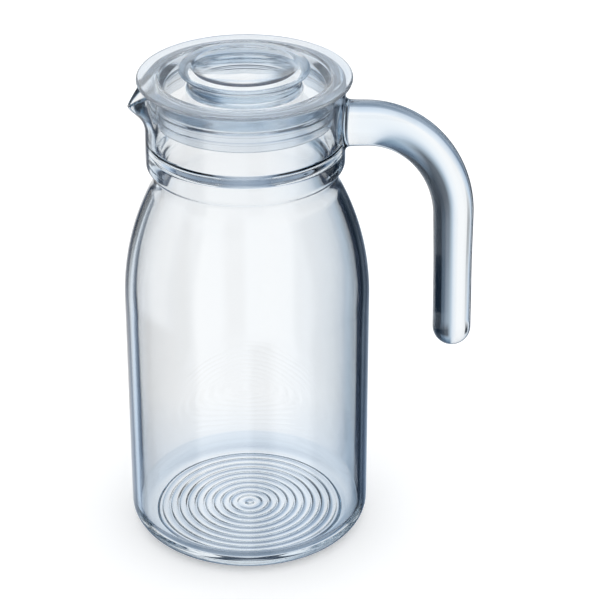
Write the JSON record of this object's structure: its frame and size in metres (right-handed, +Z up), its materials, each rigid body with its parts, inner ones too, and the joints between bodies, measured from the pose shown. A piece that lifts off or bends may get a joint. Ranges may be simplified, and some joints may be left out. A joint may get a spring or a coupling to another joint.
{
  "type": "water jug",
  "caption": "Tall clear glass water jug with a necked collar, beak spout, one-ended glass handle and a lift-off glass lid in a soft sealing ring.",
  "frame": {"origin": "centre of the foot ring, on the plane the jug stands on", "axes": "+Z up along the jug's axis, +X towards the handle, -X towards the spout"},
  "size_m": [0.1561, 0.11, 0.226],
  "materials": {
    "jug_glass": "fire-polished clear glass with a faint cool tint",
    "handle_glass": "solid drawn clear glass, polished",
    "lid_glass": "pressed clear glass, polished",
    "seal_plastic": "milky translucent soft polyethylene, satin"
  },
  "bodies": {
    "jug": {"jug_body": "jug_glass", "handle": "handle_glass"},
    "lid": {"lid_seal": "seal_plastic", "lid_glass": "lid_glass"}
  },
  "joints": [
    {"name": "lid_lift", "type": "slide", "parent": "jug", "child": "lid", "axis": [0, 0, 1], "range_m": [0, 0.08]}
  ]
}
